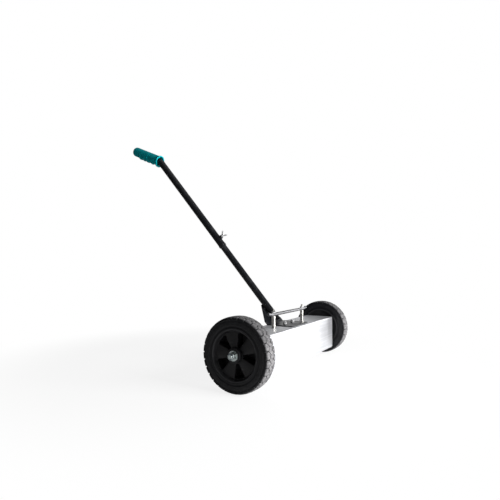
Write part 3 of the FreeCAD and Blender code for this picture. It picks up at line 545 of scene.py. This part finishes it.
def tyre_shape(phase):
    """Solid tyre in the wheel's axes: banded sides under a tread with two zigzag grooves."""
    side_profile = [(22.4, 69.0), (23.3, 69.5), (23.6, 70.4), (23.4, 71.3), (22.9, 72.0), (22.7, 73.0)]
    side_profile += [(22.7, 75.6), (23.0, 76.4), (24.1, 77.3), (24.4, 78.2), (24.4, 81.2), (24.15, 81.5)]
    side_profile += [(24.15, 82.3), (24.4, 82.6), (24.4, 88.0), (24.2, 88.8), (23.5, 89.5), (23.5, 90.4)]
    side_profile += [(24.3, 91.2)]
    shares = [pitch + share for pitch in range(TREAD_PITCHES) for share in tread_columns()]
    sections = []
    for share in shares:
        near = side_profile + half_tread(share)
        far = side_profile + half_tread(share + 0.5)
        sections.append([(-across, radius) for across, radius in near] + far[::-1])
    rings = []
    for row in range(len(sections[0])):
        ring = []
        for share, section in zip(shares, sections):
            across, radius = section[row]
            ring.append(polar(radius, (share + phase) * math.tau / TREAD_PITCHES, across))
        rings.append(ring)
    return skin(rings, closed=True)


def pocket_half_angle(radius):
    """Half of the pocket's width as an angle, which grows outwards."""
    share = (radius - POCKET_INNER) / (POCKET_OUTER - POCKET_INNER)
    spread = POCKET_OUTER_HALF_ANGLE - POCKET_INNER_HALF_ANGLE
    return math.radians(POCKET_INNER_HALF_ANGLE + spread * share)


def pocket_loop(centre, bearings, offset, height):
    """A loop round a pocket: its outline grown by an offset, at a height along the axle."""
    mid_radius = (POCKET_INNER + POCKET_OUTER) / 2
    half_length = (POCKET_OUTER - POCKET_INNER) / 2 + offset
    loop = []
    for across, along in bearings:
        size = abs(across) ** POCKET_SQUARENESS + abs(along) ** POCKET_SQUARENESS
        shrink = size ** (-1 / POCKET_SQUARENESS)
        radius = mid_radius + along * shrink * half_length
        angle = centre + across * shrink * (pocket_half_angle(radius) + offset / radius)
        loop.append(polar(radius, angle, height))
    return loop


def hub_cell(centre):
    """One pocket with the halves of the spokes beside it, on the outer face of the hub."""
    half_cell = math.pi / SPOKES
    depth = CELL_OUTER - CELL_INNER
    edge = []
    for step in range(CELL_ARC_STEPS):
        edge.append((CELL_INNER, half_cell * (2 * step / CELL_ARC_STEPS - 1)))
    for step in range(CELL_SIDE_STEPS):
        edge.append((CELL_INNER + depth * step / CELL_SIDE_STEPS, half_cell))
    for step in range(CELL_ARC_STEPS):
        edge.append((CELL_OUTER, half_cell * (1 - 2 * step / CELL_ARC_STEPS)))
    for step in range(CELL_SIDE_STEPS):
        edge.append((CELL_OUTER - depth * step / CELL_SIDE_STEPS, -half_cell))
    mid_radius = (POCKET_INNER + POCKET_OUTER) / 2
    half_length = (POCKET_OUTER - POCKET_INNER) / 2
    bearings = [(turn / pocket_half_angle(r), (r - mid_radius) / half_length) for r, turn in edge]
    loops = [[polar(r, centre + turn, SPOKE_FACE) for r, turn in edge]]
    for offset, drop in ((1.1, 0.0), (0.6, 0.15), (0.15, 0.6), (0.0, 1.2)):
        loops.append(pocket_loop(centre, bearings, offset, SPOKE_FACE - drop))
    for offset, rise in ((-0.9, 2.0), (-1.4, 0.7), (-2.4, 0.0)):
        loops.append(pocket_loop(centre, bearings, offset, POCKET_FLOOR + rise))
    points, faces = skin(loops)
    del faces[-2]
    return points, faces


def hub_shape(first):
    """Moulded wheel centre: deep pockets between five recessed spokes, and a ringed flat back."""
    shapes = [hub_cell(first + (spoke + 0.5) * math.tau / SPOKES) for spoke in range(SPOKES)]
    profile = [(SPOKE_FACE, CELL_OUTER), (15.0, 61.5), (17.5, 62.4), (22.6, 65.3), (23.2, 65.8)]
    profile += [(23.5, 66.4), (23.5, 68.6), (23.1, 69.0), (-23.1, 69.0), (-23.5, 68.6), (-23.5, 66.4)]
    profile += [(-23.2, 65.8), (-21.0, 63.0), (BACK_FACE, 62.0), (BACK_FACE, 52.0), (-21.1, 51.4)]
    profile += [(-21.1, 50.2), (BACK_FACE, 49.6), (BACK_FACE, 36.0), (-21.1, 35.4), (-21.1, 34.2)]
    profile += [(BACK_FACE, 33.6), (BACK_FACE, 22.0), (-20.8, 21.0), (-24.6, 19.6), (-25.1, 19.0)]
    profile += [(-25.1, 9.2), (-24.3, 8.0), (24.3, 8.0), (25.1, 9.2), (25.1, 18.4), (24.9, 19.0)]
    profile += [(24.4, 19.4), (15.6, 20.0), (SPOKE_FACE + 0.2, 20.2), (SPOKE_FACE, CELL_INNER)]
    points, faces = lathe(profile, steps=SPOKES * CELL_ARC_STEPS, start=first)
    shapes.append((points, faces[:-2]))
    return shapes


def add_wheels(rubber, plastic):
    """Tyres and hubs of both wheels."""
    for side in SIDES:
        matrix = axis_frame(WHEEL_MIDDLE[side], OUTWARD[side], FORWARD)
        turn = 1 if side == "left" else -1
        body = side + "_wheel"
        tyre = [placed(tyre_shape(TREAD_PHASE[side]), matrix)]
        add_piece("tyre_tread_" + side, tyre, rubber, body, ["tyre_" + side])
        hub = [placed(shape, matrix) for shape in hub_shape(math.radians(turn * FIRST_SPOKE))]
        name = "wheel_centre_" + side
        add_piece(name, hub, plastic, body, ["wheel_hub_" + side], weld=0.01 * MM)


# ---------------------------------------------------------------- fasteners

def hex_radius(flats, limit):
    """Radius of a hexagon by angle, with its corners turned off at a limit."""
    def radius(angle):
        turn = (angle + math.pi / 6) % (math.pi / 3) - math.pi / 6
        return min(flats / 2 / math.cos(turn), limit)
    return radius


def hex_rings(flats, low, high, chamfers):
    """Rings of a hexagon between two heights, with chamfered ends where asked: (low, high)."""
    corner = flats / math.sqrt(3)
    inset = flats / 2 - HEX_FACE_INSET
    fall = (corner - inset) * math.tan(math.radians(30))
    rings = []
    for share in (0.0, 0.35, 0.7, 1.0):
        limit = inset + (corner - inset) * share if chamfers[0] else corner
        rings.append(circle(low + fall * share, hex_radius(flats, limit)))
    for share in (1.0, 0.7, 0.35, 0.0):
        limit = inset + (corner - inset) * share if chamfers[1] else corner
        rings.append(circle(high - fall * share, hex_radius(flats, limit)))
    return rings


def thread_rings(size, low, high):
    """Rings of a screw thread up to a chamfered tip at the high end."""
    radius, pitch = size["radius"], size["pitch"]
    depth = pitch * THREAD_DEPTH_SHARE
    steps = max(round((high - low) / pitch * THREAD_RINGS_PER_TURN), 2)
    rings = []
    for step in range(steps + 1):
        along = low + (high - low) * step / steps
        fade = min((along - low) / pitch, 1.0)
        tip = min(radius, radius - depth + (high - along) * THREAD_TIP_SLOPE)

        def wound(angle, along=along, fade=fade, tip=tip):
            turn = (along / pitch - angle / math.tau) % 1
            return min(radius - depth * fade * abs(2 * turn - 1), tip)

        rings.append(circle(along, wound))
    return rings


def bolt(size, head_low, head_high, thread_start, tip):
    """Hex-head bolt along Z; the head is at the low end."""
    rings = hex_rings(size["flats"], head_low, head_high, (True, False))
    rings += [circle(head_high, size["radius"]), circle(thread_start, size["radius"])]
    return skin(rings + thread_rings(size, thread_start + 0.2, tip))


def nut(size, low, high):
    """Plain hex nut with countersunk mouths."""
    bore = size["radius"] + NUT_CLEARANCE
    mouth = 0.7
    rings = [circle(high, bore + mouth), circle(high - mouth, bore)]
    rings += [circle(low + mouth, bore), circle(low, bore + mouth)]
    return skin(rings + hex_rings(size["flats"], low, high, (True, True)), closed=True)


def locking_nut(size, low, high):
    """Hex nut with a round collar rolled over its nylon ring."""
    hex_high = low + END_NUT_HEX_HEIGHT
    ring_seat = hex_high + 1.0
    bore = size["radius"] + NUT_CLEARANCE
    mouth = 0.8
    rings = [circle(ring_seat, bore), circle(low + mouth, bore), circle(low, bore + mouth)]
    rings += hex_rings(size["flats"], low, hex_high, (True, True))
    collar = size["flats"] / 2 - 0.35
    profile = [(hex_high, collar), (high - 1.6, collar), (high - 0.8, collar - 0.25)]
    profile += [(high - 0.2, collar - 0.9), (high, collar - 1.5), (high - 0.25, 7.6)]
    profile += [(high - 0.5, 7.9), (high - 0.7, 8.2), (ring_seat, 8.2)]
    rings += [circle(along, radius) for along, radius in profile]
    return skin(rings, closed=True)


def washer(size, low, high):
    """Flat washer with rounded edges."""
    outer, bore = size["washer"], size["washer_bore"]
    edge = 0.3
    profile = [(low, bore), (low, outer - edge), (low + edge, outer), (high - edge, outer)]
    profile += [(high, outer - edge), (high, bore)]
    return lathe(profile, closed=True)


def axle_frames():
    """Placements on the axle line, Z outwards from each end plate's outer face."""
    frames = []
    for side in SIDES:
        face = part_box("end_plate_" + side)[1 if side == "right" else 0].x
        origin = Vector((face, WHEEL_MIDDLE[side].y, WHEEL_MIDDLE[side].z))
        frames.append(axis_frame(origin, OUTWARD[side], FORWARD))
    return frames


def add_axle_fasteners(material):
    """Stub axles, nuts and washers, measured outwards from the end plates."""
    frames = axle_frames()
    for side, matrix in zip(SIDES, frames):
        node = "axle_bolt_" + side
        low, high = reach(node, matrix.translation, OUTWARD[side])
        shapes = [placed(bolt(M12, low, -END_PLATE, high - AXLE_THREAD, high), matrix)]
        add_piece("stub_axle_" + side, shapes, material, "frame", [node])
    parts = {
        "axle_lock_nuts": (nut, LOCK_NUT_HEIGHT),
        "axle_inner_washers": (washer, AXLE_WASHER_HEIGHT),
        "axle_outer_washers": (washer, AXLE_WASHER_HEIGHT),
        "axle_end_nuts": (locking_nut, END_NUT_HEIGHT),
    }
    for node, (make, height) in parts.items():
        shapes = []
        for side, matrix in zip(SIDES, frames):
            high = reach(node, matrix.translation, OUTWARD[side])[1]
            shapes.append(placed(make(M12, high - height, high), matrix))
        add_piece(node + "_detailed", shapes, material, "frame", [node])


def upright_frames(x):
    """Placements on two upright lines at plus and minus x millimetres, Z up from the floor."""
    line_y = WHEEL_MIDDLE["left"].y
    return [axis_frame(Vector((side * x * MM, line_y, 0)), UP, FORWARD) for side in (-1, 1)]


def heights(node):
    """Lowest and highest point of a CAD node, in millimetres."""
    low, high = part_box(node)
    return low.z / MM, high.z / MM


def add_top_fasteners(bright):
    """Bolts, washers and nuts of the handle bracket, and the nuts on the pull bar."""
    low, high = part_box("bracket_washers")
    bolt_x = (high.x - low.x) / 2 / MM - M6["washer"]
    frames = upright_frames(bolt_x)
    bolt_low, bolt_high = heights("bracket_bolts")
    nut_low, nut_high = heights("bracket_nuts")
    washer_low, washer_high = heights("bracket_washers")
    thread_start = nut_low - M6_THREAD_BELOW_NUT
    shapes = {
        "bracket_bolts": bolt(M6, bolt_low, bolt_low + M6_HEAD_HEIGHT, thread_start, bolt_high),
        "bracket_nuts": nut(M6, nut_low, nut_high),
        "bracket_washers": washer(M6, washer_low, washer_high),
    }
    for node, shape in shapes.items():
        pieces = [placed(shape, matrix) for matrix in frames]
        add_piece(node + "_detailed", pieces, bright, "frame", [node])
    nut_low, nut_high = heights("lift_bar_nuts")
    pieces = [placed(nut(M6, nut_low, nut_high), matrix) for matrix in upright_frames(rod_x())]
    add_piece("pull_bar_nuts", pieces, bright, "magnet_lift", ["lift_bar_nuts"])


def rod_x():
    """Distance of the lift rods from the middle of the box, in millimetres."""
    return middle("lift_rod_right").x / MM


def add_lift_rods(material):
    """Lift rods with a chamfered shoulder and a threaded upper stud."""
    low, high = heights("lift_rod_left")
    ledge = low + ROD_FOOT_LENGTH
    shoulder = heights("lift_bar")[0] + ROD_SHOULDER_RISE
    profile = [(low, 3.4), (low + 0.6, ROD_FOOT_RADIUS), (ledge, ROD_FOOT_RADIUS), (ledge, 5.6)]
    profile += [(ledge + 0.4, ROD_RADIUS), (shoulder - 0.5, ROD_RADIUS), (shoulder, 5.5)]
    profile += [(shoulder, M6["radius"])]
    rings = [circle(along, radius) for along, radius in profile]
    rings += thread_rings(M6, shoulder + 1.0, high)
    for side, matrix in zip(SIDES, upright_frames(rod_x())):
        node = "lift_rod_" + side
        shapes = [placed(skin(rings), matrix)]
        add_piece("bright_rod_" + side, shapes, material, "magnet_lift", [node])


# ---------------------------------------------------------------- handle

def wing_outline():
    """Half of the wings' outline in their own plane, as (sideways, up) points from the hub's foot."""
    points = [(0.0, 2.6), (2.8, 3.0), (4.6, 5.6)]
    for step in range(WING_TIP_STEPS + 1):
        angle = math.radians(WING_TIP_START + WING_TIP_STEP * step)
        sideways, up = WING_TIP_RADIUS * math.cos(angle), WING_TIP_RADIUS * math.sin(angle)
        points.append((WING_TIP[0] + sideways, WING_TIP[1] + up))
    points += [(2.9, 10.4), (0.0, 9.8)]
    return points


def wing_plate():
    """Both wings as one plate with rounded edges, thicker near the hub."""
    half = wing_outline()
    outline = half + [(-x, y) for x, y in reversed(half[1:-1])]
    edge = [(0.75, 1.0), (0.3, 0.86), (0.0, 0.5)]
    loops = []
    for inset, share in edge + [(inset, -share) for inset, share in reversed(edge)]:
        loop = []
        for index, (x, y) in enumerate(outline):
            before = Vector((*outline[index - 1], 0))
            after = Vector((*outline[(index + 1) % len(outline)], 0))
            tangent = (after - before).normalized()
            inward = Vector((-tangent.y, tangent.x, 0))
            thickness = 1.15 + 0.8 * math.exp(-(x / 4.5) ** 2)
            point = Vector((x, y, 0)) + inward * inset
            loop.append(Vector((point.x, share * thickness, point.y)))
        loops.append(loop)
    return skin(loops)


def add_wing_bolt(material):
    """Wing bolt along the clamp's axis: threaded shank, conical hub and two rounded wings."""
    origin = Vector(joint("wing_bolt_turn")["pos_m"])
    low = reach("wing_bolt", origin, TUBE_NORMAL)[0]
    boss_top = reach("clamp_boss", origin, TUBE_NORMAL)[1]
    turn = math.radians(WING_TURN)
    spread = TUBE_DIRECTION * math.cos(turn) - AXLE * math.sin(turn)
    hub_low = boss_top + WING_HUB_GAP
    matrix = axis_frame(origin, TUBE_NORMAL, spread)
    thread = reversed(thread_rings(M6, 0.0, hub_low - low))
    shank = [[Vector((p.x, p.y, hub_low - p.z)) for p in ring] for ring in thread]
    hub = [(hub_low, 4.6), (hub_low + 0.4, 5.0), (hub_low + 1.6, 5.0), (hub_low + 7.5, 4.4)]
    hub += [(hub_low + 9.6, 4.0), (hub_low + 10.3, 3.3), (hub_low + 10.5, 2.0)]
    rings = shank + [circle(along, radius) for along, radius in hub]
    wing_matrix = matrix @ Matrix.Translation((0, 0, hub_low))
    shapes = [placed(skin(rings), matrix), placed(wing_plate(), wing_matrix)]
    add_piece("clamp_wing_bolt", shapes, material, "clamp_bolt", ["wing_bolt"])


def finger_rise(along):
    """How far the underside of the grip stands out at a distance along it."""
    rise = 0.0
    for crest in FINGER_CRESTS:
        rise += FINGER_RISE * math.exp(-((along - crest) / FINGER_HALF_LENGTH) ** 2)
    return rise


def underside(angle):
    """1 on the grip's underside, falling to 0 at its sides."""
    return max(math.cos(angle), 0.0) ** 1.4


def grip_ring(along, radius, drop):
    """A ring of the grip that stands out by a drop on its underside."""
    return circle(along, lambda angle: radius + drop * underside(angle), GRIP_STEPS)


def grip_shape():
    """Rubber sleeve with finger ridges, a rounded closed end, a rolled flange and a flared mouth."""
    mouth, end = GRIP_ENDS
    body_radius = GRIP_RADIUS + GRIP_SWELL
    rings = []
    for step in range(1, 10):
        angle = math.radians(90 - step * 10)
        along = end - GRIP_ROUNDING * (1 - math.sin(angle))
        rings.append(circle(along, body_radius - GRIP_ROUNDING * (1 - math.cos(angle)), GRIP_STEPS))
    body_start, body_end = mouth + FLANGE_LENGTH, end - GRIP_ROUNDING - 1.0
    for step in range(GRIP_BODY_STEPS + 1):
        along = body_end + (body_start - body_end) * step / GRIP_BODY_STEPS
        rings.append(grip_ring(along, body_radius, finger_rise(along)))
    flange = [(10.2, 18.9), (8.6, 20.4), (7.4, 21.6), (6.0, 22.2), (3.6, GRIP_FLANGE), (1.6, 22.3)]
    flange += [(0.5, 21.6), (0.0, 20.6), (0.1, 19.4), (0.7, 18.4), (2.0, GRIP_MOUTH - 0.3)]
    flange += [(10.0, 16.4), (18.0, 14.2), (22.0, GRIP_BORE)]
    for inset, radius in flange:
        outside = radius > GRIP_RADIUS and inset < FLANGE_LENGTH
        rings.append(grip_ring(mouth + inset, radius, FLANGE_DROP if outside else 0.0))
    rings.append(circle(end - GRIP_END_WALL, GRIP_BORE, GRIP_STEPS))
    return skin(rings)


def add_grip(material):
    """The grip, on the end of the upper tube."""
    matrix = axis_frame(GRIP_PLACE, GRIP_DIRECTION, GRIP_DIRECTION.cross(AXLE))
    shapes = [placed(grip_shape(), matrix)]
    add_piece("rubber_grip", shapes, material, "upper_handle", ["grip"])


def weld_bead(length):
    """A rippled weld bead along Z."""
    rings = []
    steps = int(length / WELD_STEP)
    for step in range(steps + 1):
        along = length * step / steps
        ends = min(along, length - along, WELD_END) / WELD_END
        ripple = WELD_RIPPLE * abs(math.sin(along * math.pi / WELD_RIPPLE_PITCH))
        radius = (WELD_RADIUS + ripple) * math.sqrt(max(ends, 0.08))
        rings.append(circle(along, radius, WELD_ROUND_STEPS))
    return skin(rings)


def add_welds(material):
    """Fillet welds between the lower tube and the bracket's tilted back."""
    on_axis = middle("lower_tube")
    start, end = reach("tube_welds", on_axis, TUBE_DIRECTION)
    seam = TUBE_DIRECTION * start - TUBE_NORMAL * (LOWER_TUBE_RADIUS - WELD_SINK)
    shapes = []
    for side in (-1, 1):
        origin = on_axis + (seam + AXLE * side * WELD_OFFSET) * MM
        shapes.append(placed(weld_bead(end - start), axis_frame(origin, TUBE_DIRECTION, UP)))
    add_piece("weld_beads", shapes, material, "frame", ["tube_welds"])


# ---------------------------------------------------------------- stage

# Metres, degrees and millimetres of lens
CAMERA_PLACE = (-1.2192, -0.8699, 0.3160)
CAMERA_HEADING = 30.12
CAMERA_PITCH = 3.14
CAMERA_LENS = 28.72

# The floor turns from matt to plain white between two distances from the origin, in metres
FLOOR_RADIUS = 12.0
FLOOR_THICKNESS = 0.02
FLOOR_SHADE = (0.93, 0.93, 0.93, 1)
FLOOR_WHITE_START = 0.45
FLOOR_WHITE_END = 0.95
FLOOR_WHITE_NEAR = 0.84
SURROUNDINGS_GREY = 0.07


def add_camera():
    """Camera at the left front of the sweeper, just above the height of its box."""
    data = bpy.data.cameras.new("camera")
    data.lens = CAMERA_LENS
    camera = bpy.data.objects.new("camera", data)
    camera.location = CAMERA_PLACE
    camera.rotation_euler = (math.radians(90 + CAMERA_PITCH), 0, math.radians(CAMERA_HEADING - 90))
    bpy.context.scene.collection.objects.link(camera)
    bpy.context.scene.camera = camera


def add_light(name, place, target, size, power):
    """A square soft light aimed at a point; the camera doesn't see it."""
    data = bpy.data.lights.new(name, "AREA")
    data.shape = "SQUARE"
    data.size = size
    data.energy = power
    light = bpy.data.objects.new(name, data)
    light.location = place
    light.rotation_euler = (Vector(target) - Vector(place)).to_track_quat("-Z", "Y").to_euler()
    light.visible_camera = False
    bpy.context.scene.collection.objects.link(light)


def floor_material():
    """Pale matt floor: the camera sees it lightened, and plain white further out."""
    material = bpy.data.materials.new("floor")
    material.use_nodes = True
    tree = material.node_tree
    tree.nodes.clear()
    place = tree.nodes.new("ShaderNodeTexCoord")
    length = tree.nodes.new("ShaderNodeVectorMath")
    length.operation = "LENGTH"
    reach_out = tree.nodes.new("ShaderNodeMapRange")
    reach_out.interpolation_type = "SMOOTHSTEP"
    reach_out.inputs["From Min"].default_value = FLOOR_WHITE_START
    reach_out.inputs["From Max"].default_value = FLOOR_WHITE_END
    reach_out.inputs["To Min"].default_value = FLOOR_WHITE_NEAR
    path = tree.nodes.new("ShaderNodeLightPath")
    seen = tree.nodes.new("ShaderNodeMath")
    seen.operation = "MULTIPLY"
    matt = tree.nodes.new("ShaderNodeBsdfDiffuse")
    matt.inputs["Color"].default_value = FLOOR_SHADE
    glow = tree.nodes.new("ShaderNodeEmission")
    blend = tree.nodes.new("ShaderNodeMixShader")
    output = tree.nodes.new("ShaderNodeOutputMaterial")
    tree.links.new(place.outputs["Object"], length.inputs[0])
    tree.links.new(length.outputs["Value"], reach_out.inputs["Value"])
    tree.links.new(reach_out.outputs["Result"], seen.inputs[0])
    tree.links.new(path.outputs["Is Camera Ray"], seen.inputs[1])
    tree.links.new(seen.outputs[0], blend.inputs["Fac"])
    tree.links.new(matt.outputs[0], blend.inputs[1])
    tree.links.new(glow.outputs[0], blend.inputs[2])
    tree.links.new(blend.outputs[0], output.inputs["Surface"])
    return material


def add_floor():
    """A large round floor just under the tyres."""
    points, faces = lathe([(-FLOOR_THICKNESS, FLOOR_RADIUS), (0.0, FLOOR_RADIUS)], steps=96)
    mesh = bpy.data.meshes.new("floor")
    mesh.from_pydata(points, [], faces)
    mesh.materials.append(floor_material())
    floor = bpy.data.objects.new("floor", mesh)
    bpy.context.scene.collection.objects.link(floor)


def add_world():
    """White surroundings to the camera, softer grey ones to everything that reflects them."""
    world = bpy.data.worlds.new("studio")
    world.use_nodes = True
    tree = world.node_tree
    tree.nodes.clear()
    path = tree.nodes.new("ShaderNodeLightPath")
    strength = tree.nodes.new("ShaderNodeMapRange")
    strength.inputs["To Min"].default_value = SURROUNDINGS_GREY
    background = tree.nodes.new("ShaderNodeBackground")
    background.inputs["Color"].default_value = (1, 1, 1, 1)
    output = tree.nodes.new("ShaderNodeOutputWorld")
    tree.links.new(path.outputs["Is Camera Ray"], strength.inputs["Value"])
    tree.links.new(strength.outputs["Result"], background.inputs["Strength"])
    tree.links.new(background.outputs[0], output.inputs["Surface"])
    bpy.context.scene.world = world


def add_studio():
    """Soft studio light: a strong front key, a sheen along the front, a broad top and a far fill."""
    add_world()
    add_floor()
    add_light("front_key", (-0.1, -2.3, 0.75), (0.0, -0.25, 0.15), 1.1, 100)
    add_light("front_sheen", (2.5, -1.5, 0.35), (0.1, -0.30, 0.1), 1.7, 36)
    add_light("top_soft", (0.3, 0.3, 2.6), (0.0, 0.0, 0.2), 2.2, 9)
    add_light("far_fill", (2.8, 1.8, 1.0), (0.0, 0.0, 0.2), 3.0, 19)
    view = bpy.context.scene.view_settings
    view.view_transform = "Standard"
    view.look = "None"


# ---------------------------------------------------------------- put together

def make_materials():
    """The finished materials by the names of the record's slots."""
    return {
        "brushed_stainless": brushed_stainless(),
        "bright_steel_rod": bright_steel("bright_rod", ROD_DARK, ROD_LIGHT, 0.26, 0.38),
        "zinc_plated_steel": zinc(),
        "plain_steel": plain_steel(),
        "ferrite": ferrite(),
        "black_paint": black_paint(),
        "wheel_plastic": wheel_plastic(),
        "black_nylon": black_nylon(),
        "nylon": blue_nylon(),
        "teal_rubber": teal_rubber(),
        "tyre_rubber": tyre_rubber(),
    }


def dress_cad_nodes(materials):
    """Gives every CAD node the material that its packed slot names."""
    for node in frame["nodes"].values():
        slot = node.material_slots[0]
        slot.material = materials[slot.material.name]
    bar = bright_steel("pull_bar_steel", BAR_DARK, BAR_LIGHT, 0.38, 0.5)
    frame["nodes"]["lift_bar"].material_slots[0].material = bar


materials = make_materials()
dress_cad_nodes(materials)
add_wheels(materials["tyre_rubber"], materials["wheel_plastic"])
add_axle_fasteners(materials["zinc_plated_steel"])
casting = cast_zinc()
add_top_fasteners(casting)
add_lift_rods(materials["bright_steel_rod"])
add_wing_bolt(casting)
add_grip(materials["teal_rubber"])
add_welds(materials["black_paint"])
add_studio()
add_camera()
